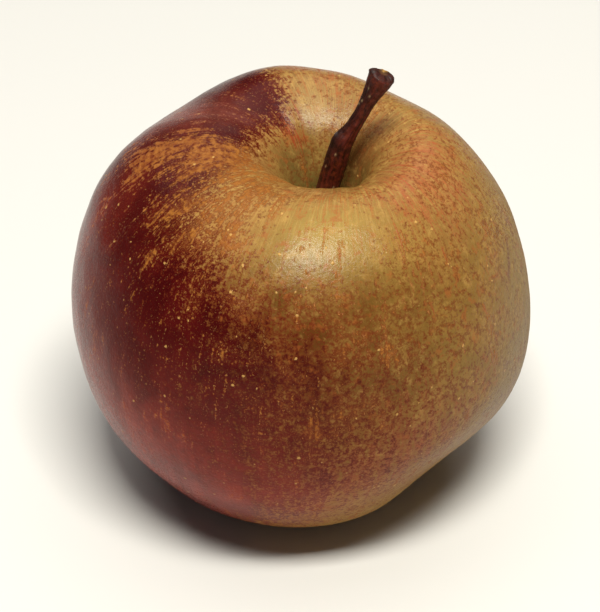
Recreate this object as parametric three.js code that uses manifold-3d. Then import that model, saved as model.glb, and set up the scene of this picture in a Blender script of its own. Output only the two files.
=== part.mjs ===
// A Boskoop apple as picked: a broad, ribbed, slightly lopsided fruit that stands on the crown round its
// eye basin, with a woody stalk leaning out of the stalk cavity and the dried calyx in the eye basin.
// Millimetres, +Z up. The origin is on the surface it stands on, under the middle of its bounding box.
import * as THREE from "three";
import { mergeVertices } from "three/addons/utils/BufferGeometryUtils.js";
import Module from "manifold-3d";

// Fruit: the mean shape, before the ridges
const CHEEK_RADIUS = 39.4;
const CHEEK_HEIGHT = 35.5;
const RIM_RADIUS = 17;
const RIM_HEIGHT = 66.8;
const SHOULDER_EXPONENT = 1.78; // superellipse from cheek to rim: 2 is an ellipse, less is leaner
const CAVITY_FLOOR_HEIGHT = 52.5;
const CAVITY_OFFSET = { x: 4.2, y: 0.5 }; // the stalk cavity stands off the fruit's middle
const CROWN_RADIUS = 12.5;
const BASE_EXPONENT = 2.02; // superellipse from cheek to crown
const BASIN_DEPTH = 9;
const GROOVE_CLEARANCE = 0.8; // how far the crown stays off the surface between the ridges' feet
const CONTACT_SINK = 0.5; // how far each foot would reach below the surface, and is flat instead

// Walls of the stalk cavity and the eye basin, as shares of radius and height
const CAVITY_WALL = [[0.16, 0.005], [0.26, 0.18], [0.37, 0.48], [0.52, 0.77], [0.75, 0.93], [1, 1]];
const BASIN_WALL = [[0.83, 0.11], [0.65, 0.4], [0.46, 0.78], [0.3, 0.975], [0, 1]];
// Where the superellipses take their points, in degrees from the cheek
const SHOULDER_ANGLES = [72, 56, 42, 29, 15, 0];
const BASE_ANGLES = [14, 27, 40, 54, 70, 90];

// Ridges run from the rim to the crown. Azimuth and half width are in degrees, counted from +X towards +Y.
// The rest is how far each pushes the surface out, in mm: up at the rim, and outwards at the shoulder,
// the cheek and the crown. A foot of 1 ends in one of the knobs that the fruit stands on.
const RIDGES = [
  { azimuth: 16, width: 24, rim: 0.6, shoulder: 0.7, cheek: 0.9, crown: 1.0, foot: 1 },
  { azimuth: 72, width: 18, rim: 0.7, shoulder: 0, cheek: 0, crown: 0, foot: 0 },
  { azimuth: 106, width: 30, rim: 2.8, shoulder: 1.5, cheek: 0.5, crown: 1.0, foot: 1 },
  { azimuth: 172, width: 24, rim: 2.0, shoulder: 1.5, cheek: 0.4, crown: 1.2, foot: 1 },
  { azimuth: 240, width: 24, rim: 0.4, shoulder: 0.6, cheek: 0.6, crown: 0.8, foot: 1 },
  { azimuth: 272, width: 28, rim: 0.8, shoulder: 0.5, cheek: 0, crown: 0, foot: 0 },
  { azimuth: 304, width: 24, rim: 0.4, shoulder: 0.6, cheek: 0.6, crown: 1.6, foot: 1 },
];
// Local swellings (positive) and flats (negative), centred on a share of the cheek's height
const SWELLINGS = [
  { azimuth: 315, width: 28, height: 0.32, reach: 0.34, depth: -4.3 },
  { azimuth: 345, width: 30, height: 0.66, reach: 0.3, depth: 1.4 },
  { azimuth: 200, width: 24, height: 0.42, reach: 0.32, depth: 0.5 },
  { azimuth: 222, width: 26, height: 0.26, reach: 0.26, depth: -1.3 },
];

// Stalk: from its root on the cavity's floor, leaning to the right and a little back
const STALK_GAP = 0.35;
const STALK_PATH = [
  [0, 0, 0],
  [0.45, 0, 4.6],
  [1.9, 0.4, 10.2],
  [2.8, 0.7, 13.4],
  [5.5, 1.1, 18.3],
  [8.2, 1.6, 24.0],
  [9.2, 1.8, 26.2],
];
const STALK_RADII = [2.15, 2.0, 1.92, 1.84, 1.76, 1.66, 1.48, 1.4, 1.5, 1.82, 2.25]; // evenly spaced
const BUD_SCAR = { place: 0.52, reach: 0.04, azimuth: 185, width: 50, height: 0.2 };
const TIP_RINGS = [{ rise: 0.65, size: 0.82 }, { rise: 1.1, size: 0.45 }];
const TIP_MIDDLE_RISE = 0.9; // the broken tip is a little hollow

// Calyx: five dried sepals on a short cup under the basin's floor
const CALYX_GAP = 0.3;
const CUP_RADIUS = 2.3;
const CUP_HEIGHT = 1.3;
const SEPAL_COUNT = 5;
const SEPAL_LENGTH = 7.2;
const SEPAL_WIDTH = 3.2;
const SEPAL_THICKNESS = 0.8;
const SEPAL_CURL = 0.35; // how far a sepal's edges turn in, as a share of its half width
const SEPAL_SECTION = [[-1, 0], [-0.55, 1], [0, 1.25], [0.55, 1], [1, 0], [0.55, -1], [0, -0.75], [-0.55, -1]];

// How finely the solids are faceted
const FRUIT_SECTORS = 72;
const STEPS_PER_SPAN = 2;
const STALK_SIDES = 14;
const STALK_STEPS = 26;
const CUP_SIDES = 20;
const SEPAL_STEPS = 9;

const wasm = await Module();
wasm.setup();

const degrees = THREE.MathUtils.degToRad;
const bell = (x, middle, reach) => Math.exp(-(((x - middle) / reach) ** 2));

// 1 on the given azimuth, fading out evenly to both sides over the half width
function aroundAzimuth(azimuth, centre, width) {
  const sharpness = 1 / (1 - Math.cos(degrees(width)));
  return Math.exp(sharpness * (Math.cos(azimuth - degrees(centre)) - 1));
}

// A quarter of a superellipse as [out, up] shares, at an angle in degrees from its side
function superellipse(angle, exponent) {
  const share = (x) => Math.pow(Math.max(x, 0), 2 / exponent);
  return [share(Math.cos(degrees(angle))), share(Math.sin(degrees(angle)))];
}

// The mean meridian as [radius, height] points, from the middle of the cavity's floor to that of the basin's
function meanMeridian() {
  const points = [[0, CAVITY_FLOOR_HEIGHT]];
  for (const [out, up] of CAVITY_WALL) {
    points.push([out * RIM_RADIUS, CAVITY_FLOOR_HEIGHT + up * (RIM_HEIGHT - CAVITY_FLOOR_HEIGHT)]);
  }
  for (const angle of SHOULDER_ANGLES) {
    const [out, up] = superellipse(angle, SHOULDER_EXPONENT);
    points.push([
      RIM_RADIUS + (CHEEK_RADIUS - RIM_RADIUS) * out,
      CHEEK_HEIGHT + (RIM_HEIGHT - CHEEK_HEIGHT) * up,
    ]);
  }
  for (const angle of BASE_ANGLES) {
    const [out, down] = superellipse(angle, BASE_EXPONENT);
    points.push([CROWN_RADIUS + (CHEEK_RADIUS - CROWN_RADIUS) * out, CHEEK_HEIGHT * (1 - down)]);
  }
  for (const [out, up] of BASIN_WALL) points.push([out * CROWN_RADIUS, up * BASIN_DEPTH]);
  return points;
}

const MEAN = meanMeridian();
const LAST = MEAN.length - 1;
const RIM = CAVITY_WALL.length;
const CHEEK = RIM + SHOULDER_ANGLES.length;
const CROWN = CHEEK + BASE_ANGLES.length;

// Where along the meridian a ridge acts in each way, and over how many of its points
const ZONES = {
  rim: { at: RIM + 1, reach: 2.6 },
  shoulder: { at: RIM + 2.5, reach: 2.2 },
  cheek: { at: CHEEK, reach: 2.6 },
  crown: { at: CROWN - 2, reach: 2 },
  foot: { at: CROWN, reach: 1.1 },
  groove: { at: CROWN, reach: 1.4 },
};
const zone = (name, i) => bell(i, ZONES[name].at, ZONES[name].reach);

// How far along the mean meridian each of its points lies
const KNOTS = [0];
for (let i = 1; i <= LAST; i++) {
  KNOTS.push(KNOTS[i - 1] + Math.hypot(MEAN[i][0] - MEAN[i - 1][0], MEAN[i][1] - MEAN[i - 1][1]));
}

// The meridian's points at one azimuth, with the ridges and swellings on it
function meridianAt(azimuth) {
  const points = MEAN.map(([radius, height]) => [radius, height]);
  for (const ridge of RIDGES) {
    const share = aroundAzimuth(azimuth, ridge.azimuth, ridge.width);
    const sink = ridge.foot * (CONTACT_SINK + GROOVE_CLEARANCE);
    for (let i = 1; i < LAST; i++) {
      for (const name of ["shoulder", "cheek", "crown"]) points[i][0] += share * ridge[name] * zone(name, i);
      points[i][1] += share * (ridge.rim * zone("rim", i) - sink * zone("foot", i));
    }
  }
  for (let i = CHEEK; i < LAST; i++) points[i][1] += GROOVE_CLEARANCE * zone("groove", i);
  for (const { azimuth: centre, width, height, reach, depth } of SWELLINGS) {
    const share = aroundAzimuth(azimuth, centre, width);
    for (let i = CHEEK - 3; i < CROWN; i++) {
      points[i][0] += share * depth * bell(MEAN[i][1] / CHEEK_HEIGHT, height, reach);
    }
  }
  return points;
}

// A smooth cubic through one value at each knot, with the given slopes at its two ends
function splineThrough(values, startSlope, endSlope) {
  const gap = KNOTS.slice(1).map((knot, i) => knot - KNOTS[i]);
  const rise = gap.map((width, i) => (values[i + 1] - values[i]) / width);
  const diagonal = [2 * gap[0]];
  const right = [6 * (rise[0] - startSlope)];
  for (let i = 1; i <= LAST; i++) {
    const factor = gap[i - 1] / diagonal[i - 1];
    const own = i < LAST ? 2 * (gap[i - 1] + gap[i]) : 2 * gap[i - 1];
    const bending = 6 * ((i < LAST ? rise[i] : endSlope) - rise[i - 1]);
    diagonal.push(own - factor * gap[i - 1]);
    right.push(bending - factor * right[i - 1]);
  }
  const bend = new Array(LAST + 1);
  bend[LAST] = right[LAST] / diagonal[LAST];
  for (let i = LAST - 1; i >= 0; i--) bend[i] = (right[i] - gap[i] * bend[i + 1]) / diagonal[i];
  return (span, share) => {
    const width = gap[span];
    const before = (1 - share) * width;
    const after = share * width;
    const curved = (bend[span] * before ** 3 + bend[span + 1] * after ** 3) / (6 * width);
    const from = values[span] / width - (bend[span] * width) / 6;
    const to = values[span + 1] / width - (bend[span + 1] * width) / 6;
    return curved + from * before + to * after;
  };
}

// How much a point of the meridian follows the cavity's offset: 1 in the cavity, fading to 0 over the shoulder
function cavityShare(i) {
  const fade = THREE.MathUtils.clamp((i - (RIM - 2)) / 5.5, 0, 1);
  return 0.5 + 0.5 * Math.cos(Math.PI * fade);
}

// Points down one meridian of the surface, both poles included. None is below what the fruit stands on.
function surfaceMeridian(azimuth) {
  const points = meridianAt(azimuth);
  const radius = splineThrough(points.map((point) => point[0]), 1, -1);
  const height = splineThrough(points.map((point) => point[1]), 0, 0);
  const line = [];
  for (let step = 0; step <= LAST * STEPS_PER_SPAN; step++) {
    const span = Math.min(Math.floor(step / STEPS_PER_SPAN), LAST - 1);
    const share = step / STEPS_PER_SPAN - span;
    const out = radius(span, share);
    const aside = cavityShare(span + share);
    line.push(
      new THREE.Vector3(
        out * Math.cos(azimuth) + CAVITY_OFFSET.x * aside,
        out * Math.sin(azimuth) + CAVITY_OFFSET.y * aside,
        Math.max(height(span, share), 0),
      ),
    );
  }
  return line;
}

// A closed surface through rings of points from the top down, each end drawn together in one point
function closedLoft(rings, top, bottom) {
  const sides = rings[0].length;
  const vertices = [top, ...rings.flat(), bottom];
  const bottomIndex = vertices.length - 1;
  const lastRing = rings.length - 1;
  const at = (ring, side) => 1 + ring * sides + (side % sides);
  const faces = [];
  for (let side = 0; side < sides; side++) {
    faces.push(0, at(0, side), at(0, side + 1));
    for (let ring = 0; ring < lastRing; ring++) {
      faces.push(at(ring, side), at(ring + 1, side), at(ring + 1, side + 1));
      faces.push(at(ring, side), at(ring + 1, side + 1), at(ring, side + 1));
    }
    faces.push(at(lastRing, side), bottomIndex, at(lastRing, side + 1));
  }
  const geometry = new THREE.BufferGeometry().setFromPoints(vertices);
  geometry.setIndex(faces);
  geometry.computeVertexNormals();
  return geometry;
}

function fruitGeometry() {
  const lines = [];
  for (let sector = 0; sector < FRUIT_SECTORS; sector++) {
    lines.push(surfaceMeridian((2 * Math.PI * sector) / FRUIT_SECTORS));
  }
  const bottom = lines[0].length - 1;
  const rings = [];
  for (let row = 1; row < bottom; row++) rings.push(lines.map((line) => line[row]));
  return closedLoft(rings, lines[0][0], lines[0][bottom]);
}

// A value read off an evenly spaced list, straight between its entries
function readOff(list, share) {
  const place = share * (list.length - 1);
  const low = Math.min(Math.floor(place), list.length - 2);
  return THREE.MathUtils.lerp(list[low], list[low + 1], place - low);
}

// The stalk's radius at a share of its length and a turn round it: faint ribs, the bud scar and an uneven knob
function stalkRadius(share, turn) {
  const ribs = 0.035 * Math.cos(3 * turn + 2 * share) + 0.03 * Math.cos(5 * turn - 3 * share);
  const scarSide = aroundAzimuth(turn, BUD_SCAR.azimuth, BUD_SCAR.width);
  const scar = BUD_SCAR.height * bell(share, BUD_SCAR.place, BUD_SCAR.reach) * scarSide;
  const knob = 0.1 * Math.cos(2 * turn + 0.6) * bell(share, 1, 0.09);
  return readOff(STALK_RADII, share) * (1 + ribs + scar + knob);
}

// One ring round the stalk, square to its path but level at the root
function stalkRing(path, share) {
  const level = Math.max(1 - 6 * share, 0);
  const ahead = path.getTangentAt(share).lerp(new THREE.Vector3(0, 0, 1), level).normalize();
  const right = new THREE.Vector3(1, 0, 0).addScaledVector(ahead, -ahead.x).normalize();
  const back = new THREE.Vector3().crossVectors(ahead, right);
  const ring = [];
  for (let side = 0; side < STALK_SIDES; side++) {
    const turn = (2 * Math.PI * side) / STALK_SIDES;
    const radius = stalkRadius(share, turn);
    const point = path.getPointAt(share).addScaledVector(right, radius * Math.cos(turn));
    ring.push(point.addScaledVector(back, radius * Math.sin(turn)));
  }
  return ring;
}

// The stalk: a twig with a bud scar on its left and a swollen tip where it broke off the tree
function stalkGeometry() {
  const path = new THREE.CatmullRomCurve3(STALK_PATH.map((point) => new THREE.Vector3(...point)));
  const rings = [];
  for (let step = 0; step <= STALK_STEPS; step++) rings.push(stalkRing(path, step / STALK_STEPS));
  const end = path.getPointAt(1);
  const ahead = path.getTangentAt(1);
  for (const { rise, size } of TIP_RINGS) {
    const middle = end.clone().addScaledVector(ahead, rise);
    rings.push(rings[STALK_STEPS].map((point) => point.clone().sub(end).multiplyScalar(size).add(middle)));
  }
  const tip = end.clone().addScaledVector(ahead, TIP_MIDDLE_RISE);
  return closedLoft(rings.reverse(), tip, path.getPointAt(0));
}

// A closed geometry as a manifold-3d solid
function solidFrom(geometry) {
  const bare = geometry.clone();
  for (const name of Object.keys(bare.attributes)) {
    if (name !== "position") bare.deleteAttribute(name);
  }
  const merged = mergeVertices(bare, 1e-4);
  return new wasm.Manifold(
    new wasm.Mesh({
      numProp: 3,
      vertProperties: new Float32Array(merged.attributes.position.array),
      triVerts: new Uint32Array(merged.index.array),
    }),
  );
}

function geometryFrom(solid) {
  const { vertProperties, triVerts } = solid.getMesh();
  const geometry = new THREE.BufferGeometry();
  geometry.setAttribute("position", new THREE.BufferAttribute(new Float32Array(vertProperties), 3));
  geometry.setIndex(new THREE.BufferAttribute(new Uint32Array(triVerts), 1));
  geometry.computeVertexNormals();
  return geometry;
}

// One dried sepal, hanging from the cup: it closes in over the eye, and its tip turns out again
function sepalGeometry() {
  const spine = new THREE.CatmullRomCurve3([
    new THREE.Vector3(0.7 * CUP_RADIUS, 0, -0.05 * SEPAL_LENGTH),
    new THREE.Vector3(CUP_RADIUS, 0, -0.29 * SEPAL_LENGTH),
    new THREE.Vector3(0.62 * CUP_RADIUS, 0, -0.56 * SEPAL_LENGTH),
    new THREE.Vector3(0.75 * CUP_RADIUS, 0, -0.77 * SEPAL_LENGTH),
    new THREE.Vector3(1.5 * CUP_RADIUS, 0, -0.89 * SEPAL_LENGTH),
  ]);
  const rings = [];
  for (let step = 0; step <= SEPAL_STEPS; step++) {
    const share = step / SEPAL_STEPS;
    const centre = spine.getPointAt(share);
    const tangent = spine.getTangentAt(share);
    const outwards = new THREE.Vector3(-tangent.z, 0, tangent.x);
    const halfWidth = 0.5 * SEPAL_WIDTH * (0.86 + 0.3 * share - 0.96 * share ** 3);
    const halfThickness = 0.5 * SEPAL_THICKNESS * (1 - 0.2 * share);
    rings.push(
      SEPAL_SECTION.map(([across, out]) =>
        new THREE.Vector3(0, across * halfWidth, 0)
          .add(centre)
          .addScaledVector(outwards, out * halfThickness - SEPAL_CURL * across ** 2 * halfWidth),
      ),
    );
  }
  return closedLoft(rings, spine.getPointAt(0), spine.getPointAt(1));
}

// The cup that the sepals grow from, with the stump of the withered pistil in its middle
function cupGeometry() {
  const profile = [
    [0, -CUP_HEIGHT - 1.6],
    [0.45 * CUP_RADIUS, -CUP_HEIGHT - 0.4],
    [CUP_RADIUS, -CUP_HEIGHT],
    [1.1 * CUP_RADIUS, -0.5 * CUP_HEIGHT],
    [0.9 * CUP_RADIUS, -0.1],
    [0, 0],
  ].map((point) => new THREE.Vector2(...point));
  return new THREE.LatheGeometry(profile, CUP_SIDES).rotateX(Math.PI / 2);
}

function calyxGeometry() {
  const sepal = sepalGeometry();
  let solid = solidFrom(cupGeometry());
  for (let i = 0; i < SEPAL_COUNT; i++) {
    const turned = sepal.clone();
    turned.rotateY(degrees(4 * Math.cos(2.3 * i)));
    turned.rotateZ((2 * Math.PI * i) / SEPAL_COUNT + 0.16 * Math.sin(1.7 * i));
    solid = solid.add(solidFrom(turned));
  }
  return geometryFrom(solid);
}

function piece(name, geometry, color, roughness) {
  const mesh = new THREE.Mesh(geometry, new THREE.MeshStandardMaterial({ color, roughness, metalness: 0 }));
  mesh.name = name;
  return mesh;
}

const fruit = piece("fruit", fruitGeometry(), 0x8f4a26, 0.42);

const stalk = piece("stalk", stalkGeometry(), 0x3b140a, 0.6);
stalk.position.set(CAVITY_OFFSET.x, CAVITY_OFFSET.y, CAVITY_FLOOR_HEIGHT + STALK_GAP);

const calyx = piece("calyx", calyxGeometry(), 0x5a4630, 0.9);
calyx.position.z = BASIN_DEPTH - CALYX_GAP;

// The origin goes under the middle of the fruit's bounding box
const apple = new THREE.Group();
apple.add(fruit, stalk, calyx);
const middle = new THREE.Box3().setFromObject(fruit).getCenter(new THREE.Vector3());
apple.position.set(-middle.x, -middle.y, 0);

export default apple;
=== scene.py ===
"""A boskoop apple with its stalk and its dried calyx, standing on a plain pale floor. Metres, +Z up."""

import math
import bpy
import numpy as np
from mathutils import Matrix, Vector


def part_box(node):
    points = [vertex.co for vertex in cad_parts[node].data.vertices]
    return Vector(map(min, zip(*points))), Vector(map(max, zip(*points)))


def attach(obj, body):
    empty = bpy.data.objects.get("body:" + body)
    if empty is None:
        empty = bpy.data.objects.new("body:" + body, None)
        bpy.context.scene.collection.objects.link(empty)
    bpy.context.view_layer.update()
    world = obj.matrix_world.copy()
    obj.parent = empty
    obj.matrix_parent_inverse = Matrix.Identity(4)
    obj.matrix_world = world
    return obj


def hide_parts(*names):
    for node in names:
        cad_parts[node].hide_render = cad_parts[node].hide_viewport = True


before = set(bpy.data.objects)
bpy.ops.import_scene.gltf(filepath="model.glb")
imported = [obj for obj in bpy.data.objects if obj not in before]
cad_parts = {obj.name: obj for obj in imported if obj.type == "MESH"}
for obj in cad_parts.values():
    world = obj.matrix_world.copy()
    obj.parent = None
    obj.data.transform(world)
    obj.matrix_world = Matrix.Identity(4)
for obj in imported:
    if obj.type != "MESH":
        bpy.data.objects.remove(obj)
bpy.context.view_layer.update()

MM = 0.001
random = np.random.default_rng(11)

# The fruit's outline, in millimetres, from the cavity's floor over the rim and cheeks to the eye
CHEEK_RADIUS, CHEEK_HEIGHT = 39.4, 35.5
RIM_RADIUS, RIM_HEIGHT = 17.0, 66.8
CAVITY_FLOOR_HEIGHT = 52.5
CAVITY_OFFSET = np.array([4.2, 0.5])
CROWN_RADIUS, BASIN_DEPTH = 12.5, 9.0
SHOULDER_EXPONENT, BASE_EXPONENT = 1.78, 2.02
GROOVE_CLEARANCE, CONTACT_SINK = 0.8, 0.5
CAVITY_WALL = ((0.16, 0.005), (0.26, 0.18), (0.37, 0.48), (0.52, 0.77), (0.75, 0.93), (1, 1))
BASIN_WALL = ((0.83, 0.11), (0.65, 0.4), (0.46, 0.78), (0.3, 0.975), (0, 1))
SHOULDER_ANGLES = (72, 56, 42, 29, 15, 0)
BASE_ANGLES = (14, 27, 40, 54, 70, 90)

# Each ridge: azimuth, width, then what it lifts at the rim, shoulder, cheek, crown and foot
RIDGES = (
    (16, 24, 0.6, 0.7, 0.9, 1.0, 1),
    (72, 18, 0.7, 0, 0, 0, 0),
    (106, 30, 2.8, 1.5, 0.5, 1.0, 1),
    (172, 24, 2.0, 1.5, 0.4, 1.2, 1),
    (240, 24, 0.4, 0.6, 0.6, 0.8, 1),
    (272, 28, 0.8, 0.5, 0, 0, 0),
    (304, 24, 0.4, 0.6, 0.6, 1.6, 1),
)
# Each swelling of the lower half: azimuth, width, height, reach and depth
SWELLINGS = (
    (315, 28, 0.32, 0.34, -4.3),
    (345, 30, 0.66, 0.3, 1.4),
    (200, 24, 0.42, 0.32, 0.5),
    (222, 26, 0.26, 0.26, -1.3),
)
# Which points of the outline are the rim, the cheek, the crown and the last
RIM, CHEEK, CROWN, LAST = 6, 12, 18, 23
SECTORS, ROWS = 400, 238

# Waves of the uneven skin: height and length in millimetres, and seed
UNEVENNESS = ((0.16, 17, 3), (0.045, 6, 4), (0.016, 2.4, 5))
# Folds into the cavity and the eye: height, fewest and most round the axis, seed, slant, level and reach
FOLDS = (
    (0.13, 7, 19, 6, 0, 2.9, 1.1),
    (0.035, 9, 26, 7, 0.02, 5.2, 1.4),
    (0.34, 8, 18, 8, 0, 19.8, 1.2),
)
# Corners of the cavity's rim: how far they stand out, azimuth, width, level and reach
CORNERS = (
    (1.3, 246, 14, 3.4, 1.1),
    (1.5, 298, 14, 3.4, 1.1),
    (0.5, 270, 14, 3.4, 1.1),
    (1.7, 186, 26, 4.0, 0.9),
)
CONTACT_ROUNDING = 0.06


def bell(x, middle, reach):
    return np.exp(-(((x - middle) / reach) ** 2))


def around(azimuth, centre, width):
    """A bell round the axis: 1 at the centre, falling off over the width, both in degrees."""
    return np.exp((np.cos(azimuth - math.radians(centre)) - 1) / (1 - math.cos(math.radians(width))))


def smooth(x, low, high):
    t = np.clip((x - low) / (high - low), 0, 1)
    return t * t * (3 - 2 * t)


def waves(points, size, seed, count=30):
    """A smooth random field of waves about that many millimetres long, mostly between -1 and 1."""
    source = np.random.default_rng(seed)
    direction = source.normal(size=(count, 3))
    direction /= np.linalg.norm(direction, axis=1, keepdims=True)
    step = direction * (2 * math.pi / (size * source.uniform(0.7, 1.6, (count, 1))))
    phase = source.uniform(0, 2 * math.pi, count)
    return np.cos(points @ step.T + phase).sum(-1) / math.sqrt(2 * count)


def mean_meridian():
    points = [(0.0, CAVITY_FLOOR_HEIGHT)]
    for out, up in CAVITY_WALL:
        points.append((out * RIM_RADIUS, CAVITY_FLOOR_HEIGHT + up * (RIM_HEIGHT - CAVITY_FLOOR_HEIGHT)))
    for angle in np.radians(SHOULDER_ANGLES):
        points.append((
            RIM_RADIUS + (CHEEK_RADIUS - RIM_RADIUS) * abs(math.cos(angle)) ** (2 / SHOULDER_EXPONENT),
            CHEEK_HEIGHT + (RIM_HEIGHT - CHEEK_HEIGHT) * math.sin(angle) ** (2 / SHOULDER_EXPONENT),
        ))
    for angle in np.radians(BASE_ANGLES):
        points.append((
            CROWN_RADIUS + (CHEEK_RADIUS - CROWN_RADIUS) * abs(math.cos(angle)) ** (2 / BASE_EXPONENT),
            CHEEK_HEIGHT * (1 - math.sin(angle) ** (2 / BASE_EXPONENT)),
        ))
    for out, up in BASIN_WALL:
        points.append((out * CROWN_RADIUS, up * BASIN_DEPTH))
    return np.array(points)


def ridged_meridians(azimuth, mean):
    """The outline's points at every azimuth: [azimuth, point, (radius, height)]."""
    index = np.arange(LAST + 1)
    inner = (index >= 1) & (index < LAST)
    points = np.repeat(mean[None], len(azimuth), 0)
    for centre, width, rim, shoulder, cheek, crown, foot in RIDGES:
        share = around(azimuth, centre, width)[:, None] * inner
        outward = shoulder * bell(index, RIM + 2.5, 2.2) + cheek * bell(index, CHEEK, 2.6)
        outward += crown * bell(index, CROWN - 2, 2)
        upward = rim * bell(index, RIM + 1, 2.6)
        upward -= foot * (CONTACT_SINK + GROOVE_CLEARANCE) * bell(index, CROWN, 1.1)
        points[:, :, 0] += share * outward
        points[:, :, 1] += share * upward
    points[:, :, 1] += inner * (index >= CHEEK) * GROOVE_CLEARANCE * bell(index, CROWN, 1.4)
    for centre, width, height, reach, depth in SWELLINGS:
        share = around(azimuth, centre, width)[:, None] * ((index >= CHEEK - 3) & (index < CROWN))
        points[:, :, 0] += share * depth * bell(mean[:, 1] / CHEEK_HEIGHT, height, reach)
    return points


def spline(knots, values, first, last, at):
    """A cubic through values[:, knot] with given end slopes, evaluated at the distances in at."""
    gap = np.diff(knots)
    slope = np.diff(values, axis=1) / gap
    system = np.zeros((len(knots), len(knots)))
    system[0, 0] = system[-1, -1] = 1
    known = np.empty_like(values)
    known[:, 0], known[:, -1] = first, last
    for i in range(1, len(knots) - 1):
        system[i, i - 1 : i + 2] = gap[i], 2 * (gap[i - 1] + gap[i]), gap[i - 1]
        known[:, i] = 3 * (gap[i] * slope[:, i - 1] + gap[i - 1] * slope[:, i])
    tangent = np.linalg.solve(system, known.T).T
    i = np.clip(np.searchsorted(knots, at, side="right") - 1, 0, len(gap) - 1)
    t = (at - knots[i]) / gap[i]
    return (
        values[:, i] * (1 + 2 * t) * (1 - t) ** 2
        + tangent[:, i] * gap[i] * t * (1 - t) ** 2
        + values[:, i + 1] * t * t * (3 - 2 * t)
        + tangent[:, i + 1] * gap[i] * t * t * (t - 1)
    )


def grid_normals(grid):
    """Outward unit normals of grid[azimuth, row]."""
    across = np.roll(grid, -1, 0) - np.roll(grid, 1, 0)
    along = np.gradient(grid, axis=1)
    normal = np.cross(along, across)
    return normal / np.maximum(np.linalg.norm(normal, axis=2, keepdims=True), 1e-9)


def fruit_grid():
    """Positions in millimetres, azimuths, levels (outline points passed) and outline distances."""
    mean = mean_meridian()
    knots = np.concatenate([[0], np.cumsum(np.linalg.norm(np.diff(mean, axis=0), axis=1))])
    distance = np.linspace(0, knots[-1], ROWS + 1)
    level = np.interp(distance, knots, np.arange(LAST + 1))
    azimuth = np.arange(SECTORS) * 2 * math.pi / SECTORS
    points = ridged_meridians(azimuth, mean)
    radius = spline(knots, points[:, :, 0], 1, -1, distance)
    height = spline(knots, points[:, :, 1], 0, 0, distance)
    share = 0.5 + 0.5 * np.cos(math.pi * np.clip((level - (RIM - 2)) / 5.5, 0, 1))
    grid = np.stack([
        radius * np.cos(azimuth)[:, None] + CAVITY_OFFSET[0] * share,
        radius * np.sin(azimuth)[:, None] + CAVITY_OFFSET[1] * share,
        height,
    ], -1)
    return grid, azimuth, level, distance


def folds(azimuth, low, high, seed):
    """Uneven folds that run along the outline: a sum of that many waves round the axis."""
    source = np.random.default_rng(seed)
    total = 0
    for count in range(low, high + 1):
        total = total + source.normal() * np.cos(count * azimuth + source.uniform(0, 2 * math.pi))
    return total / math.sqrt((high - low + 1) / 2)


def uneven_fruit(grid, azimuth, level):
    """The smooth surface with the small unevenness of a real fruit."""
    turn = azimuth[:, None]
    points = grid.reshape(-1, 3)
    lift = np.zeros(grid.shape[:2])
    for height, length, seed in UNEVENNESS:
        lift += height * waves(points, length, seed).reshape(lift.shape)
    for height, fewest, most, seed, slant, middle, reach in FOLDS:
        lift += height * folds(turn + slant * level, fewest, most, seed) * bell(level, middle, reach)
    lift *= smooth(level, 0.2, 2.2) * (1 - smooth(level, 21.2, 22.6))
    moved = grid + grid_normals(grid) * lift[:, :, None]
    for outward, centre, width, middle, reach in CORNERS:
        corner = outward * around(turn, centre, width) * bell(level, middle, reach)
        moved[:, :, 0] += corner * np.cos(turn)
        moved[:, :, 1] += corner * np.sin(turn)
    height = moved[:, :, 2]
    moved[:, :, 2] = 0.5 * (height + np.sqrt(height**2 + CONTACT_ROUNDING))
    return moved


def fit_box(points, low, high):
    """The points, scaled and moved to fill a box exactly."""
    bottom, top = points.reshape(-1, 3).min(0), points.reshape(-1, 3).max(0)
    return (points - bottom) / (top - bottom) * (high - low) + low


def mesh_object(name, vertices, faces, material):
    mesh = bpy.data.meshes.new(name)
    mesh.from_pydata(vertices.tolist(), [], faces)
    mesh.polygons.foreach_set("use_smooth", [True] * len(mesh.polygons))
    mesh.materials.append(material)
    mesh.update()
    item = bpy.data.objects.new(name, mesh)
    bpy.context.scene.collection.objects.link(item)
    return item


def store(item, name, values, kind="FLOAT"):
    """Keeps one value, vector or colour per vertex on the mesh."""
    field = {"FLOAT": "value", "FLOAT_VECTOR": "vector", "FLOAT_COLOR": "color"}[kind]
    values = np.asarray(values, dtype=np.float32)
    if kind == "FLOAT_COLOR":
        values = np.concatenate([values, np.ones((len(values), 1), np.float32)], 1)
    item.data.attributes.new(name, kind, "POINT").data.foreach_set(field, values.ravel())


def linear(red, green, blue):
    """A colour given as it looks on a screen, 0 to 255, as scene values."""
    share = np.array([red, green, blue]) / 255
    return np.where(share <= 0.04045, share / 12.92, ((share + 0.055) / 1.055) ** 2.4)


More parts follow.
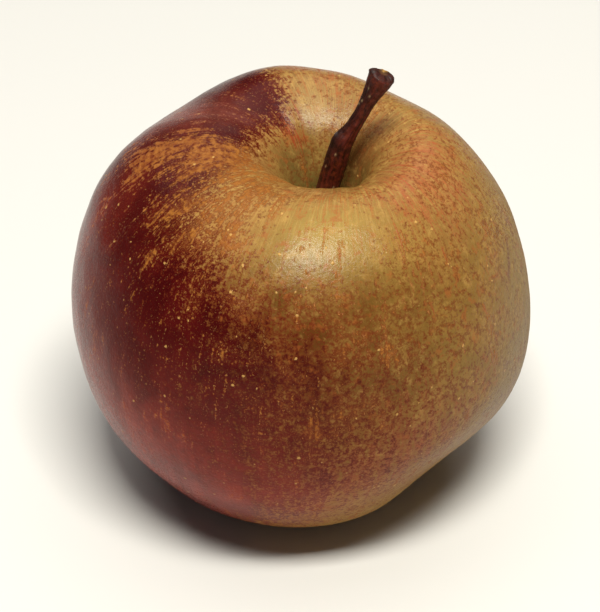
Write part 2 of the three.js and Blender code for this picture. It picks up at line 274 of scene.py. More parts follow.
class Graph:
    """A material and short ways to add its nodes."""

    def __init__(self, name):
        self.material = bpy.data.materials.new(name)
        self.material.use_nodes = True
        self.nodes = self.material.node_tree.nodes
        self.links = self.material.node_tree.links
        self.shader = self.nodes["Principled BSDF"]

    def put(self, socket, value):
        if isinstance(value, bpy.types.NodeSocket):
            self.links.new(value, socket)
        elif getattr(value, "__len__", None) and socket.type == "RGBA":
            socket.default_value = (*value, 1)
        else:
            socket.default_value = value

    def surface(self, name, value):
        self.put(self.shader.inputs[name], value)

    def add(self, kind, inputs, **settings):
        node = self.nodes.new(kind)
        for key, value in settings.items():
            setattr(node, key, value)
        for key, value in inputs.items():
            self.put(node.inputs[key], value)
        return node

    def attribute(self, name, output="Fac"):
        return self.add("ShaderNodeAttribute", {}, attribute_name=name).outputs[output]

    def math(self, operation, *values):
        return self.add("ShaderNodeMath", dict(enumerate(values)), operation=operation).outputs[0]

    def times(self, first, second):
        return self.math("MULTIPLY", first, second)

    def mix(self, share, first, second):
        inputs = {0: share, 6: first, 7: second}
        return self.add("ShaderNodeMix", inputs, data_type="RGBA").outputs[2]

    def noise(self, place, scale, detail, rough, bend=0.0):
        inputs = {"Vector": place, "Scale": scale, "Detail": detail, "Roughness": rough}
        inputs["Distortion"] = bend
        return self.add("ShaderNodeTexNoise", inputs).outputs["Fac"]

    def cells(self, place, scale, output="Distance"):
        inputs = {"Vector": place, "Scale": scale, "Randomness": 1.0}
        return self.add("ShaderNodeTexVoronoi", inputs).outputs[output]

    def step(self, value, low, high, start=0.0, end=1.0):
        """A smooth step from start to end while value goes from low to high."""
        inputs = {"Value": value, "From Min": low, "From Max": high, "To Min": start, "To Max": end}
        return self.add("ShaderNodeMapRange", inputs, interpolation_type="SMOOTHSTEP").outputs[0]

    def sum(self, noises, **weights):
        """The weighted sum of the noises named, each counted from its middle of 0.5."""
        total = 0.0
        for name, weight in weights.items():
            centred = self.math("SUBTRACT", noises[name], 0.5)
            total = self.math("MULTIPLY_ADD", centred, weight, total)
        return total

    def bump(self, height, depth, normal=None):
        """A bump of that many millimetres."""
        inputs = {"Height": height, "Distance": depth * MM, "Strength": 1.0}
        if normal:
            inputs["Normal"] = normal
        return self.add("ShaderNodeBump", inputs).outputs["Normal"]


# Zones of the skin: sums of soft spots, each with strength, azimuth, level, width and reach.
# Russet is the golden band, blush a thin red wash, speck small red-brown flecks and brush the red marks
# in the cavity. The pinkish veil over the red cheek is a painted sheen, where the pale floor and the
# lights are reflected. Matt is less glossy, soft is where the red cheek thins out slowly, and the glossy
# lobe in front of the cavity is kept clear of red marks, a painted highlight.
SPOTS = {
    "russet": (
        (0.42, 181, 7.3, 13, 1.3),
        (0.54, 197, 5.8, 18, 1.3),
        (0.56, 214, 4.6, 30, 1.1),
        (0.36, 222, 6.6, 18, 1.3),
        (0.34, 244, 6.9, 20, 1.2),
        (0.24, 213, 8.2, 13, 0.9),
    ),
    "blush": (
        (0.75, 338, 6.3, 44, 2.1),
        (0.55, 304, 12.1, 20, 1.3),
        (0.7, 262, 13.6, 30, 1.3),
        (0.8, 84, 8.5, 30, 2.6),
        (0.5, 38, 11.5, 22, 2.4),
        (0.35, 285, 12.8, 14, 0.9),
    ),
    "speck": ((0.5, 268, 10.4, 32, 2.4), (0.15, 310, 9.5, 30, 3), (0.7, 234, 6.9, 24, 1.7)),
    # Painted sheen: a pinkish veil where the pale floor and the lights are reflected on the red cheek
    "painted_sheen": (
        (1.15, 210, 13.4, 46, 2.0),
        (0.6, 184, 10.5, 18, 2.5),
        (0.75, 154, 6.7, 17, 1.4),
        (0.5, 256, 14, 34, 1.4),
    ),
    "matt": (
        (0.9, 8, 12, 26, 5),
        (0.9, 325, 16.4, 48, 2.3),
        (0.85, 227, 9.6, 19, 2.2),
        (0.65, 272, 12.2, 34, 2.9),
    ),
    "soft": ((1, 266, 11, 36, 2.8),),
    # The glossy lobe in front of the cavity, where the key light's highlight falls: glossier, and a
    # painted highlight in colour
    "painted_highlight_and_gloss": ((1, 273, 7.2, 24, 0.9),),
    "brush": ((0.5, 122, 4.3, 18, 1.2), (0.3, 190, 4.0, 40, 1.2)),
}

# The red cheek's edges: azimuth and softness in degrees, at levels of the outline
FRONT_LEVELS = (3, 5, 6, 7, 8, 9, 10, 12, 13, 14, 16, 20)
FRONT_EDGE = (198, 205, 211, 221, 238, 260, 280, 287, 281, 270, 254, 242)
FRONT_SOFT_LEVELS = (4, 6, 7.5, 9, 11, 13, 16)
FRONT_SOFTNESS = (12, 22, 30, 32, 36, 34, 26)
BACK_LEVELS = (3, 5, 7, 9, 10, 11, 12, 13, 14, 16, 20)
BACK_EDGE = (122, 115, 110, 98, 93, 96, 104, 108, 101, 92, 110)
BACK_SOFT_LEVELS = (5, 7, 8.5, 10, 14)
BACK_SOFTNESS = (8, 12, 26, 36, 40)

SCRATCH_AZIMUTH, SCRATCH_LEVEL, SCRATCH_WIDTH, SCRATCH_SLANT = 349.5, 9.6, 0.9, 13

# The ground colour and the tints over it: colour, azimuth, level, width, reach and strength
GROUND = (127, 94, 42)
TINTS = (
    ((140, 98, 42), 270, 6.8, 44, 1.6, 1.0),
    ((162, 118, 64), 232, 6.7, 22, 1.5, 0.7),
    # Painted highlight: paler yellow where the key light's highlight falls on the front lobe
    ((164, 144, 76), 276, 7.2, 20, 1.0, 0.85),
    ((128, 82, 48), 272, 5.6, 24, 0.6, 0.85),
    ((88, 54, 11), 274, 9.0, 30, 0.9, 1.0),
    ((76, 45, 11), 266, 10.8, 42, 2.8, 1.0),
    ((126, 97, 43), 350, 10, 28, 3.4, 0.8),
    ((148, 106, 62), 338, 6.6, 34, 1.7, 0.7),
    ((150, 98, 38), 276, 14.6, 54, 1.9, 0.85),
    ((130, 108, 50), 60, 8, 46, 4, 0.7),
    ((144, 106, 68), 80, 6.0, 60, 2.0, 0.7),
    ((168, 138, 92), 98, 4.7, 14, 0.8, 0.9),
    # Painted shadow of the stalk on the cavity's right wall
    ((112, 66, 34), 36, 4.3, 14, 1.0, 0.7),
    ((150, 106, 60), 190, 4.4, 40, 1.1, 0.9),
    ((68, 61, 29), 130, 2.9, 50, 1.1, 0.95),
    # Brown russet with the stalk's painted shadow on the cavity's right wall
    ((80, 38, 16), 30, 3.2, 44, 1.2, 0.9),
    ((140, 124, 60), 290, 3.0, 70, 0.9, 0.7),
    ((156, 136, 78), 60, 16.5, 120, 2.6, 0.6),
    ((162, 122, 62), 322, 16.4, 44, 1.5, 0.6),
    ((152, 118, 56), 6, 12, 18, 4.5, 0.55),
)

# Noises of the skin: coordinates, scale, detail, roughness and distortion
SKIN_NOISES = {
    "streak": ("lines", 0.42, 3, 0.6, 0),
    "thin_streak": ("lines", 1.5, 3, 0.6, 0),
    "blotch": ("place", 0.16, 3, 0.55, 0.4),
    "mottle": ("place", 1.05, 3, 0.62, 0),
    "grain": ("place", 2.6, 2, 0.6, 0),
    "broad": ("place", 0.05, 2, 0.5, 0),
    "spread": ("place", 0.5, 4, 0.62, 0.3),
    "pitting": ("place", 1.8, 3, 0.65, 0),
}
PORE_SCALE = 0.37


def patch(turn, level, centre, height, width, reach):
    """A soft spot on the skin, round an azimuth in degrees and a level of the outline."""
    away = (turn - centre + 180) % 360 - 180
    return np.exp(-((away / width) ** 2) - ((level - height) / reach) ** 2)


def red_flush(turn, level):
    """The deep red of the left cheek, from 0 to 1."""
    front = np.interp(level, FRONT_LEVELS, FRONT_EDGE)
    back = np.interp(level, BACK_LEVELS, BACK_EDGE)
    inside_front = (front - turn) / np.interp(level, FRONT_SOFT_LEVELS, FRONT_SOFTNESS)
    inside_back = (turn - back) / np.interp(level, BACK_SOFT_LEVELS, BACK_SOFTNESS)
    flush = 1 / (1 + np.exp(-2 * np.minimum(inside_back, inside_front)))
    return flush * smooth(level, 3.0, 6.2) * (1 - 0.75 * smooth(level, 15.5, 19))


def skin_zones(azimuth, level):
    """Every zone's strength at each vertex of the grid, by name, and the ground colour."""
    turn = np.degrees(azimuth)[:, None] + 0 * level
    level = level + 0 * turn
    zones = {}
    for name, spots in SPOTS.items():
        zones[name] = sum(strength * patch(turn, level, *spot) for strength, *spot in spots)
    # Red marks are cleared from the glossy lobe in front of the cavity: a painted highlight
    zones["blush"] = np.minimum(zones["blush"] - 0.5 * zones["painted_highlight_and_gloss"], 1)
    zones["speck"] = 0.4 + zones["speck"] - 1.3 * zones["painted_highlight_and_gloss"]
    for name in ("russet", "painted_sheen", "matt"):
        zones[name] = np.minimum(zones[name], 1)
    zones["flush"] = red_flush(turn, level)
    zones["cavity"] = 1 - smooth(level, 1.5, 3.3)
    zones["rim"] = bell(level, 5.6, 2.2)
    zones["eye"] = smooth(level, 18.2, 20.6)
    across = turn - SCRATCH_AZIMUTH + SCRATCH_SLANT * (level - SCRATCH_LEVEL)
    along = smooth(level, 9.3, 9.7) * (1 - smooth(level, 10.1, 10.4))
    zones["scar"] = bell(across, 0, SCRATCH_WIDTH) * along

    ground = np.empty((*turn.shape, 3))
    ground[:] = linear(*GROUND)
    for colour, *spot, strength in TINTS:
        share = (strength * patch(turn, level, *spot))[:, :, None]
        ground += share * (linear(*colour) - ground)
    return zones, ground


def skin_ground(g, noise):
    """The uneven golden ground, with fine lines that run together into the cavity."""
    rim = g.attribute("rim")
    colour = g.attribute("ground", "Color")
    colour = g.mix(g.step(noise["blotch"], 0.35, 0.7, 0, 0.25), colour, linear(190, 142, 74))
    colour = g.mix(g.step(noise["broad"], 0.4, 0.62, 0, 0.3), colour, linear(126, 104, 46))
    hair = g.times(rim, g.step(noise["thin_streak"], 0.5, 0.62))
    colour = g.mix(g.times(hair, 0.3), colour, linear(172, 84, 40))
    hair = g.times(rim, g.step(noise["thin_streak"], 0.48, 0.38))
    colour = g.mix(g.times(hair, 0.25), colour, linear(196, 152, 88))
    colour = g.mix(g.step(noise["spread"], 0.52, 0.7, 0, 0.34), colour, linear(180, 140, 76))
    return g.mix(g.step(noise["spread"], 0.46, 0.32, 0, 0.5), colour, linear(150, 78, 36))


def thin_reds(g, noise, colour):
    """Brush marks down the cavity's back wall, a mottled wash, and a net of red-brown flecks."""
    mark = g.sum(noise, streak=1.6, thin_streak=1.6, blotch=0.8)
    mark = g.step(g.math("ADD", g.attribute("brush"), mark), 0.36, 0.62)
    colour = g.mix(g.times(mark, 0.75), colour, linear(136, 48, 26))
    wash = g.sum(noise, streak=1.0, thin_streak=1.3, mottle=1.2, grain=0.9)
    wash = g.step(g.math("ADD", g.attribute("blush"), wash), 0.2, 1.05)
    colour = g.mix(g.times(wash, 0.5), colour, linear(168, 74, 56))
    fleck = g.sum(noise, mottle=1.4, grain=1.0, blotch=0.7)
    fleck = g.step(g.math("ADD", g.times(g.attribute("speck"), 0.34), fleck), 0.08, 0.46)
    return g.mix(g.times(fleck, 0.7), colour, linear(96, 45, 16))


def red_cheek(g, noise, colour):
    """The deep red cheek, mottled and streaked where it thins out, and how much of it there is."""
    soft = g.attribute("soft")
    broken = g.sum(noise, streak=0.7, thin_streak=0.6, mottle=1.3, grain=1.1)
    cover = g.math("MULTIPLY_ADD", broken, g.step(soft, 0, 1, 1, 0.75), g.attribute("flush"))
    red = g.step(cover, g.step(soft, 0, 1, 0.2, 0.08), g.step(soft, 0, 1, 0.62, 0.98))
    deep = g.mix(g.step(noise["blotch"], 0.3, 0.7), linear(56, 3, 4), linear(72, 8, 7))
    deep = g.mix(g.step(cover, 0.4, 0.8, 1.0, 0), deep, linear(98, 34, 14))
    return g.mix(red, colour, deep), red


def golden_band(g, noise, colour):
    """Golden russet in a broken band over the shoulder, and how much of it there is."""
    band = g.sum(noise, streak=1.5, thin_streak=1.3, mottle=1.4, grain=0.8, blotch=1.4)
    band = g.step(g.math("ADD", g.attribute("russet"), band), 0.27, 0.72)
    gold = g.mix(g.step(noise["mottle"], 0.3, 0.7), linear(112, 52, 14), linear(160, 102, 40))
    return g.mix(g.times(band, 0.8), colour, gold), band


def dry_marks(g, noise, colour, cavity, eye):
    """Corky flecks, the olive cavity with russet rays, the cracked basin of the eye, and a scratch."""
    cork = g.times(g.step(g.sum(noise, grain=1.6, thin_streak=0.8), 0.2, 0.42), 0.3)
    colour = g.mix(cork, colour, linear(190, 140, 80))
    hollow = g.mix(g.step(noise["mottle"], 0.42, 0.62), linear(68, 62, 24), linear(98, 60, 28))
    colour = g.mix(g.times(cavity, 0.85), colour, hollow)
    rind = g.mix(g.step(noise["mottle"], 0.35, 0.65), linear(104, 84, 48), linear(150, 126, 80))
    colour = g.mix(g.times(eye, 0.8), colour, rind)
    scratch = g.times(g.attribute("scar"), g.step(noise["grain"], 0.3, 0.6, 0.4, 1))
    return g.mix(scratch, colour, linear(96, 38, 26))


def paint_sheen(g, noise, colour):
    """A painted sheen: a pinkish veil over the cheeks, where the pale floor and the lights are reflected
    on the red.
    """
    sheen = g.times(g.attribute("painted_sheen"), g.step(noise["blotch"], 0.25, 0.7, 0.4, 0.66))
    sheen = g.times(sheen, g.step(g.sum(noise, streak=1, mottle=1), -0.25, 0.2, 0.6, 1.05))
    pink = g.mix(g.attribute("rim"), linear(170, 64, 47), linear(146, 84, 70))
    return g.mix(sheen, colour, pink)


def pores(g, place):
    """Lenticels: small pores of uneven size, 1 inside and 0 outside."""
    shake = g.add("ShaderNodeTexNoise", {"Vector": place, "Scale": 1.7, "Detail": 2.0})
    inputs = {0: shake.outputs["Color"], 1: (0.55, 0.55, 0.55), 2: place}
    shaken = g.add("ShaderNodeVectorMath", inputs, operation="MULTIPLY_ADD").outputs[0]
    draw = g.add("ShaderNodeSeparateColor", {0: g.cells(shaken, PORE_SCALE, "Color")}).outputs[0]
    size = g.math("MULTIPLY_ADD", draw, 0.07, 0.03)
    return g.step(g.math("SUBTRACT", g.cells(shaken, PORE_SCALE), size), -0.03, 0.035, 1, 0)


def skin_material():
    g = Graph("apple_skin")
    axes = {"place": g.attribute("place", "Vector"), "lines": g.attribute("lines", "Vector")}
    noise = {name: g.noise(axes[kind], *shape) for name, (kind, *shape) in SKIN_NOISES.items()}
    cavity, eye, matt = g.attribute("cavity"), g.attribute("eye"), g.attribute("matt")
    colour = thin_reds(g, noise, skin_ground(g, noise))
    colour, red = red_cheek(g, noise, colour)
    colour, band = golden_band(g, noise, colour)
    colour = dry_marks(g, noise, colour, cavity, eye)
    colour = paint_sheen(g, noise, colour)
    pore = pores(g, axes["place"])
    g.surface("Base Color", g.mix(g.times(pore, 0.75), colour, linear(198, 154, 86)))

    corky = g.math("MAXIMUM", band, g.math("MAXIMUM", eye, cavity))
    rough = g.math("MULTIPLY_ADD", corky, 0.1, g.step(noise["grain"], 0.2, 0.8, 0.25, 0.34))
    rough = g.math("MULTIPLY_ADD", red, -0.05, rough)
    rough = g.math("MULTIPLY_ADD", g.attribute("painted_highlight_and_gloss"), -0.06, rough)
    g.surface("Roughness", g.math("MULTIPLY_ADD", matt, 0.26, rough))
    g.surface("Specular IOR Level", g.math("MULTIPLY_ADD", matt, -0.12, 0.16))
    pitted = g.bump(g.times(noise["pitting"], g.step(corky, 0, 1, 0.7, 1.5)), 0.12)
    g.surface("Normal", g.bump(pore, 0.04, pitted))
    return g.material


def build_fruit():
    grid, azimuth, level, distance = fruit_grid()
    grid = uneven_fruit(grid, azimuth, level)
    low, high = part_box("fruit")
    grid = fit_box(grid, np.array(low) / MM, np.array(high) / MM)
    inner = grid[:, 1:-1]
    count = inner.shape[1]
    vertices = np.concatenate([inner.reshape(-1, 3), grid[:1, 0], grid[:1, -1]])
    vertices[-2:, :2] = grid[:, [0, -1]].mean(0)[:, :2]
    top, bottom = len(vertices) - 2, len(vertices) - 1
    faces = []
    for i in range(SECTORS):
        a, b = i * count, (i + 1) % SECTORS * count
        faces.append((top, a, b))
        faces.append((bottom, b + count - 1, a + count - 1))
        faces.extend((a + k, a + k + 1, b + k + 1, b + k) for k in range(count - 1))
    fruit = mesh_object("apple_skin", vertices * MM, faces, skin_material())

    def per_vertex(values):
        inside = values[:, 1:-1]
        inside = inside.reshape(-1, *inside.shape[2:])
        return np.concatenate([inside, values[:1, 0], values[:1, -1]])

    zones, ground = skin_zones(azimuth, level)
    for name, values in zones.items():
        store(fruit, name, per_vertex(values))
    store(fruit, "ground", per_vertex(ground), "FLOAT_COLOR")
    store(fruit, "place", vertices, "FLOAT_VECTOR")
    turn = azimuth[:, None] + 0 * distance
    down = 0.13 * distance + 0 * turn
    lines = np.stack([CHEEK_RADIUS * np.cos(turn), CHEEK_RADIUS * np.sin(turn), down], -1)
    store(fruit, "lines", per_vertex(lines), "FLOAT_VECTOR")
    return fruit


# The stalk, in millimetres: its path from the root, and its radius at even steps up to the tip
STALK_ROOT = np.array([CAVITY_OFFSET[0] - 0.28, CAVITY_OFFSET[1] - 0.12, CAVITY_FLOOR_HEIGHT + 0.35])
STALK_PATH = np.array([
    (0, 0, 0),
    (0.45, 0, 4.6),
    (1.9, 0.4, 10.2),
    (2.8, 0.7, 13.4),
    (5.5, 1.1, 18.3),
    (8.15, 1.6, 23.8),
    (9.15, 1.8, 25.95),
])
STALK_RADII = (2.1, 1.95, 1.92, 1.94, 1.96, 1.86, 1.4, 1.2, 1.24, 1.6, 2.2)
STALK_LENGTH = 27
STALK_ROWS, STALK_SIDES = 180, 64
# Each knob of the stalk: height, place along it, reach, azimuth and width
KNOBS = (
    (0.22, 0.52, 0.035, 185, 46),
    (0.1, 0.555, 0.02, 170, 60),
    (-0.14, 0.47, 0.03, 190, 60),
    (0.12, 0.9, 0.02, 20, 70),
)
# Rings of the stalk's end: size and rise
END_RINGS = (
    (1.02, 0.14), (1.0, 0.3), (0.94, 0.46), (0.84, 0.6), (0.72, 0.7),
    (0.58, 0.76), (0.44, 0.78), (0.3, 0.8), (0.15, 0.82), (0.06, 0.82),
)
BARK_PORES, BARK_PORE_LENGTH, BARK_PORE_WIDTH = 30, 0.2, 0.13


def chord_curve(points, count):
    """A smooth curve through the points, evenly sampled, with its unit tangents."""
    ends = np.concatenate([[2 * points[0] - points[1]], points, [2 * points[-1] - points[-2]]])
    t = np.linspace(0, 1, 60, endpoint=False)[:, None]
    samples = []
    for i in range(len(points) - 1):
        a, b, c, d = ends[i : i + 4]
        square = (2 * a - 5 * b + 4 * c - d) * t**2
        cube = (3 * b - a - 3 * c + d) * t**3
        samples.append(0.5 * (2 * b + (c - a) * t + square + cube))
    dense = np.concatenate([*samples, points[-1:]])
    along = np.concatenate([[0], np.cumsum(np.linalg.norm(np.diff(dense, axis=0), axis=1))])
    at = np.linspace(0, along[-1], count)
    curve = np.stack([np.interp(at, along, dense[:, k]) for k in range(3)], 1)
    tangent = np.gradient(curve, axis=0)
    return curve, tangent / np.linalg.norm(tangent, axis=1, keepdims=True)


def carried_frames(tangent, start):
    """Side and cross directions, carried along the tangents without twist."""
    side = start - tangent[0] * (start @ tangent[0])
    sides = []
    for direction in tangent:
        side = side - direction * (side @ direction)
        side = side / np.linalg.norm(side)
        sides.append(side)
    sides = np.array(sides)
    return sides, np.cross(tangent, sides)


def round_directions(angle, side, cross):
    """Unit directions round a curve: [row, angle, xyz]."""
    angle = angle.reshape(1, -1, 1)
    return np.cos(angle) * side[:, None] + np.sin(angle) * cross[:, None]


def tube(rings):
    """Faces of a closed tube of rings[row, side], with a point at both ends: vertices and faces."""
    rows, sides = rings.shape[:2]
    vertices = np.concatenate([rings.reshape(-1, 3), [rings[0].mean(0)], [rings[-1].mean(0)]])
    last = (rows - 1) * sides
    faces = []
    for k in range(sides):
        m = (k + 1) % sides
        faces.append((rows * sides, m, k))
        faces.append((rows * sides + 1, last + k, last + m))
        for low in range(0, last, sides):
            high = low + sides
            faces.append((low + k, low + m, high + m, high + k))
    return vertices, faces


def stalk_material():
    g = Graph("stalk_bark")
    place, lines = g.attribute("place", "Vector"), g.attribute("lines", "Vector")
    streak = g.noise(lines, 1.6, 4, 0.6)
    spots = g.noise(place, 1.4, 3, 0.6)
    colour = g.mix(g.step(streak, 0.35, 0.65), linear(40, 8, 4), linear(84, 22, 8))
    colour = g.mix(g.step(spots, 0.45, 0.7, 0, 0.45), colour, linear(112, 44, 14))
    colour = g.mix(g.times(g.attribute("dark"), 0.8), colour, linear(20, 7, 5))
    colour = g.mix(g.times(g.attribute("low"), 0.5), colour, linear(92, 62, 32))
    wood = g.times(g.step(spots, 0.4, 0.6, 0.6, 1), g.attribute("cut"))
    colour = g.mix(wood, colour, linear(184, 142, 76))
    # Painted glint: a bluish-grey highlight at the stalk's knee
    colour = g.mix(g.attribute("painted_glint"), colour, linear(112, 108, 112))
    colour = g.mix(g.attribute("pale"), colour, linear(206, 178, 132))
    g.surface("Base Color", colour)
    g.surface("Roughness", g.step(streak, 0.3, 0.7, 0.42, 0.62))
    g.surface("Specular IOR Level", 0.3)
    furrows = g.bump(g.noise(lines, 3.2, 4, 0.65), 0.12)
    g.surface("Normal", g.bump(g.noise(place, 3.5, 3, 0.6), 0.05, furrows))
    return g.material


def stalk_radius(part, angle):
    """The radius at every place along and round the stalk, with its ribs, its bend's swelling and its
    knobby end.
    """
    radius = np.interp(part[:, 0], np.linspace(0, 1, len(STALK_RADII)), STALK_RADII)
    kernel = bell(np.arange(-9, 10), 0, 5)
    radius = np.convolve(np.pad(radius, 9, mode="edge"), kernel / kernel.sum(), "valid")
    ribs = 0.055 * np.cos(5 * angle + 1.2 + 1.5 * part)
    ribs = ribs + 0.04 * np.cos(8 * angle + 0.4 - 2.5 * part)
    ribs = ribs + 0.03 * np.cos(13 * angle + 2.2 + 3 * part)
    radius = radius[:, None] + ribs * (0.5 + 0.5 * part)
    for height, middle, reach, centre, width in KNOBS:
        radius = radius + height * bell(part, middle, reach) * around(angle, centre, width)
    return radius + 0.16 * bell(part, 0.955, 0.03) * (0.5 + 0.5 * np.cos(3 * angle + 0.6))


def stalk_pores(part, angle, radius):
    """Small pale pores scattered over the bark, from 0 to 1."""
    total = np.zeros_like(radius)
    for at, turn in random.uniform(0, 1, (BARK_PORES, 2)) * (0.97, 2 * math.pi):
        along = (part - at) * STALK_LENGTH
        across = ((angle - turn + math.pi) % (2 * math.pi) - math.pi) * radius
        total += bell(along, 0, BARK_PORE_LENGTH) * bell(across, 0, BARK_PORE_WIDTH)
    return np.clip(total, 0, 1)


def stalk_end(ring, direction, angle):
    """The scar where the stalk parted from the spur: a rolled edge round an uneven hollow."""
    centre = ring.mean(0)
    lobes = 0.26 * np.cos(2 * angle - 0.5) + 0.1 * np.cos(5 * angle + 1.0)
    lobes = lobes + 0.32 * around(angle, 92, 20)
    rings = []
    for size, rise in END_RINGS:
        uneven = lobes * bell(size, 0.74, 0.28)
        uneven = uneven + 0.05 * np.cos(7 * angle + 20 * size) * bell(size, 0.5, 0.3)
        swell = 1 + 0.1 * np.cos(2 * angle - 0.5) * bell(size, 0.9, 0.2)
        outward = (ring - centre) * (size * swell)[:, None]
        rings.append(centre + outward + direction * (rise + uneven)[:, None])
    return np.array(rings)


def build_stalk():
    curve, tangent = chord_curve(STALK_PATH, STALK_ROWS)
    side, cross = carried_frames(tangent, np.array([1.0, 0, 0]))
    part = np.linspace(0, 1, STALK_ROWS)[:, None]
    angle = np.arange(STALK_SIDES)[None] * 2 * math.pi / STALK_SIDES
    outward = round_directions(angle, side, cross)
    radius = stalk_radius(part, angle)
    pale = stalk_pores(part, angle, radius)
    rings = STALK_ROOT + curve[:, None] + radius[:, :, None] * outward
    points = rings.reshape(-1, 3)
    bark = 0.04 * waves(points, 1.8, 12) + 0.03 * waves(points, 0.9, 13)
    lift = bark.reshape(radius.shape) + 0.05 * pale
    rings = rings + lift[:, :, None] * outward
    end = stalk_end(rings[-1], tangent[-1], angle[0])
    vertices, faces = tube(np.concatenate([rings, end]))
    stalk = mesh_object("apple_stalk", vertices * MM, faces, stalk_material())

    part = np.concatenate([part[:, 0], 1 + 0.01 * np.arange(1, len(end) + 1)])[:, None] + 0 * angle
    wood = around(angle, 78, 26)
    # Painted shade: the stalk is darker on its left side, away from the key light
    shaded = around(angle, 200, 42) * smooth(part, 0.25, 0.5) * (1 - smooth(part, 0.9, 1.0))
    dark = 0.9 * shaded + 0.5 * bell(part, 0.49, 0.02) + 0.7 * smooth(part, 1.0, 1.03) * (1 - wood)
    zones = {
        "dark": dark,
        "cut": smooth(part, 1.02, 1.05) * np.minimum(wood + 0.15 * smooth(part, 1.07, 1.09), 1),
        "low": 1 - smooth(part, 0.0, 0.3),
        # Painted glint at the knee
        "painted_glint": 0.55 * bell(part, 0.545, 0.012) * around(angle, 165, 26),
        "pale": 0.45 * np.concatenate([pale, np.zeros((len(end), STALK_SIDES))]),
    }

    def per_vertex(values):
        flat = values.reshape(part.size, -1)
        return np.concatenate([flat, flat[:1], flat[-STALK_SIDES:][:1]])

    for name, values in zones.items():
        store(stalk, name, per_vertex(np.clip(values, 0, 1)))
    store(stalk, "place", vertices, "FLOAT_VECTOR")
    turn = angle + 0 * part
    lines = np.stack([1.8 * np.cos(turn), 1.8 * np.sin(turn), 0.16 * STALK_LENGTH * part], -1)
    store(stalk, "lines", per_vertex(lines), "FLOAT_VECTOR")
    return stalk


# The dried calyx in the eye, hanging into the basin, in millimetres
CALYX_PLACE = (-0.28, -0.12, BASIN_DEPTH - 0.3)
CUP_RADIUS, CUP_HEIGHT = 2.3, 1.3
CUP_PROFILE = (
    (0.0, 0.0), (0.6, 0.0), (0.95, -0.05), (1.1, -0.3), (1.08, -0.7),
    (1.0, -1.0), (0.88, -0.95), (0.8, -0.6), (0.5, -0.5), (0.1, -0.55),
)
SEPAL_LENGTH, SEPAL_WIDTH, SEPAL_ROWS, SEPAL_SIDES = 7.2, 3.2, 30, 24
SEPAL_SPINE = ((0.62, -0.02), (0.8, -0.12), (1.0, -0.29), (0.66, -0.56), (0.72, -0.77), (1.45, -0.9))
SEPALS, STAMENS, HAIRS = 5, 16, 120
STAMEN_RADII = (0.13, 0.1, 0.1, 0.24, 0.16)
HAIR_RADII = (0.045, 0.03, 0.012)


def calyx_material():
    g = Graph("dried_calyx")
    fibre = g.noise(g.attribute("place", "Vector"), 2.2, 4, 0.65)
    colour = g.mix(g.step(fibre, 0.35, 0.65), linear(56, 36, 20), linear(118, 86, 52))
    colour = g.mix(g.times(g.attribute("tip"), 0.6), colour, linear(44, 30, 20))
    colour = g.mix(g.times(g.attribute("down"), 0.62), colour, linear(172, 150, 116))
    g.surface("Base Color", colour)
    g.surface("Roughness", 0.88)
    g.surface("Normal", g.bump(fibre, 0.16))
    return g.material


def pointed_rod(points, radii, sides=7, rows=10):
    """A round rod through the points, in rings."""
    curve, tangent = chord_curve(np.array(points, float), rows)
    side, cross = carried_frames(tangent, np.array([0.31, 0.2, 0.93]))
    angle = np.arange(sides) * 2 * math.pi / sides
    radius = np.interp(np.linspace(0, 1, rows), np.linspace(0, 1, len(radii)), radii)
    return curve[:, None] + radius[:, None, None] * round_directions(angle, side, cross)


def sepal(turn, seed):
    """One dried sepal: a thin tapering leaf, folded along its middle, as rings round its spine."""
    source = np.random.default_rng(seed)
    spine = np.array([(out * CUP_RADIUS, 0, up * SEPAL_LENGTH) for out, up in SEPAL_SPINE])
    spine[1:] += source.normal(0, 0.16, (len(spine) - 1, 3)) * (1, 1.6, 0.5)
    curve, tangent = chord_curve(spine, SEPAL_ROWS)
    side = np.repeat([[0.0, 1.0, 0.0]], len(curve), 0)
    side -= tangent * (side * tangent).sum(1, keepdims=True)
    side /= np.linalg.norm(side, axis=1, keepdims=True)
    out = np.cross(side, tangent)
    part = np.linspace(0, 1, SEPAL_ROWS)[:, None, None]
    width = 0.5 * SEPAL_WIDTH * (0.55 + 0.75 * part) * np.clip(1 - part, 0, 1) ** 0.62 + 0.07
    angle = np.arange(SEPAL_SIDES) * 2 * math.pi / SEPAL_SIDES
    across = np.sign(np.cos(angle)) * np.abs(np.cos(angle)) ** 0.8
    across, depth = across[None, :, None], np.sin(angle)[None, :, None]
    fold = 0.32 * across**2 * width + 0.16 * np.sin(5 * across + 9 * part + seed) * (0.3 + part)
    thick = 0.2 + 0.16 * (1 - part) * (1 - across**2)
    rings = curve[:, None] + across * width * side[:, None] + (fold + depth * thick) * out[:, None]
    x, y = rings[:, :, 0], rings[:, :, 1]
    turned_x = math.cos(turn) * x - math.sin(turn) * y
    turned_y = math.sin(turn) * x + math.cos(turn) * y
    return np.stack([turned_x, turned_y, rings[:, :, 2]], -1)


def calyx_cup():
    """The cup that the sepals and stamens stand in, as one rolled ring."""
    angle = np.arange(60) * 2 * math.pi / 60
    rings = []
    for out, down in CUP_PROFILE:
        lobes = 1 + 0.06 * np.cos(5 * angle + 0.4) + 0.03 * np.cos(9 * angle) * out
        radius = out * CUP_RADIUS * lobes
        height = down * CUP_HEIGHT + 0.05 * np.cos(7 * angle)
        rings.append(np.stack([radius * np.cos(angle), radius * np.sin(angle), height], 1))
    return np.array(rings)[::-1][:, ::-1]


def level_direction(turn):
    return np.array([math.cos(turn), math.sin(turn), 0])


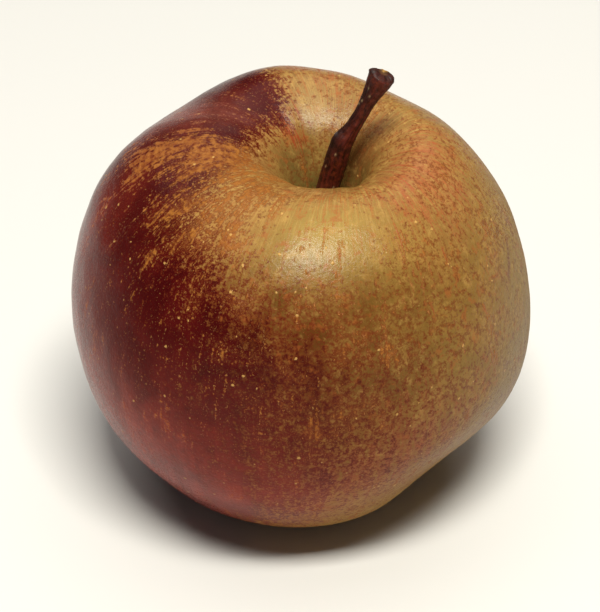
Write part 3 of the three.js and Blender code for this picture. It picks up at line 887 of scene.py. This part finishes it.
def stamen():
    """A withered stamen in the cup, with its anther at the free end."""
    turn, lean = random.uniform(0, 2 * math.pi), random.uniform(0.2, 0.75)
    reach = random.uniform(2.2, 3.8)
    foot = level_direction(turn) * CUP_RADIUS * 0.62 + (0, 0, -0.35 * CUP_HEIGHT)
    bend = level_direction(turn + 0.6) * (lean - 0.5)
    middle = foot + bend * 0.6 + (0, 0, -0.5 * reach)
    return pointed_rod([foot, middle, foot + bend * 1.5 + (0, 0, -reach)], STAMEN_RADII)


def down_hair():
    """One hair of the down on the cup's outside."""
    turn = random.uniform(0, 2 * math.pi)
    out = random.uniform(0.85, 1.1) * CUP_RADIUS
    start = level_direction(turn) * out + (0, 0, -random.uniform(0.3, 1.0) * CUP_HEIGHT)
    sideways = random.normal(0, 0.25, 2) + 0.25 * start[:2] / CUP_RADIUS
    push = np.append(sideways, -random.uniform(0.3, 0.9))
    return pointed_rod([start, start + 0.6 * push, start + push * 1.1], HAIR_RADII, 4)


def build_calyx():
    # Each part: its rings, how dark its tip is and how downy it is
    parts = [(calyx_cup(), 0.0, 0.15)]
    for i in range(SEPALS):
        turn = 2 * math.pi * i / SEPALS + 0.16 * math.sin(1.7 * i)
        parts.append((sepal(turn, 21 + i), 0.35, 0.35))
    parts.extend((stamen(), 0.9, 0.05) for _ in range(STAMENS))
    parts.extend((down_hair(), 0.0, 1.0) for _ in range(HAIRS))
    vertices, faces, tip, down = [], [], [], []
    count = 0
    for rings, darkness, downy in parts:
        part_vertices, part_faces = tube(rings)
        vertices.append(part_vertices)
        faces.extend(tuple(k + count for k in face) for face in part_faces)
        count += len(part_vertices)
        rows, sides = rings.shape[:2]
        rise = np.append(np.repeat(np.linspace(0, 1, rows), sides), (0, 1))
        tip.append(darkness * rise)
        down.append(downy * (1 - 0.5 * rise))
    vertices = np.concatenate(vertices) + CALYX_PLACE
    calyx = mesh_object("apple_calyx", vertices * MM, faces, calyx_material())
    store(calyx, "place", vertices, "FLOAT_VECTOR")
    store(calyx, "tip", np.concatenate(tip))
    store(calyx, "down", np.concatenate(down))
    return calyx


# The floor, the light and the camera, in metres
FLOOR_HALF, FLOOR_SQUARES = 6.0, 48
CAMERA_TARGET = Vector((-0.00028, -0.00012, 0.034))
CAMERA_DISTANCE, CAMERA_ELEVATION = 0.42, 37


def build_floor():
    step = np.linspace(-FLOOR_HALF, FLOOR_HALF, FLOOR_SQUARES + 1)
    vertices = np.array([(x, y, 0.0) for x in step for y in step])
    faces = []
    for i in range(FLOOR_SQUARES):
        for j in range(FLOOR_SQUARES):
            near = i * len(step) + j
            far = near + len(step)
            faces.append((near, far, far + 1, near + 1))
    g = Graph("pale_floor")
    g.surface("Base Color", (0.66, 0.654, 0.642))
    g.surface("Roughness", 0.75)
    g.surface("Specular IOR Level", 0.2)
    return mesh_object("floor", vertices, faces, g.material)


def aim(item, place, direction):
    """Puts a light or the camera in its place, looking that way."""
    item.location = place
    item.rotation_mode = "QUATERNION"
    item.rotation_quaternion = direction.to_track_quat("-Z", "Y")
    bpy.context.scene.collection.objects.link(item)


def area_light(name, place, target, size, power, colour):
    data = bpy.data.lights.new(name, "AREA")
    data.shape = "RECTANGLE"
    data.size, data.size_y = size
    data.energy, data.color = power, colour
    aim(bpy.data.objects.new(name, data), place, Vector(target) - Vector(place))


def build_light():
    scene = bpy.context.scene
    scene.world = bpy.data.worlds.new("studio")
    scene.world.use_nodes = True
    background = scene.world.node_tree.nodes["Background"]
    background.inputs["Color"].default_value = (1.0, 0.985, 0.96, 1)
    background.inputs["Strength"].default_value = 0.07
    area_light("key", (0.07, -0.36, 0.97), (0, 0, 0.05), (0.46, 0.18), 14.6, (1.0, 0.975, 0.88))
    area_light("ceiling", (-0.1, 0.6, 1.5), (0, 0, 0), (2.2, 1.8), 15, (1.0, 0.97, 0.91))
    scene.view_settings.view_transform = "Standard"
    scene.view_settings.look = "None"


def build_camera():
    data = bpy.data.cameras.new("camera")
    data.sensor_width, data.lens = 36.0, 140.8
    data.shift_y = -4 / 612
    data.clip_start, data.clip_end = 0.01, 20
    camera = bpy.data.objects.new("camera", data)
    elevation = math.radians(CAMERA_ELEVATION)
    back = Vector((0, -math.cos(elevation), math.sin(elevation)))
    aim(camera, CAMERA_TARGET + back * CAMERA_DISTANCE, -back)
    bpy.context.scene.camera = camera


pieces = (
    (build_fruit(), "fruit", "skin"),
    (build_stalk(), "stalk", "stalk_bark"),
    (build_calyx(), "calyx", "dried_sepal"),
)
for piece, node, slot in pieces:
    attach(piece, "root")
    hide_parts(node)
build_floor()
build_light()
build_camera()
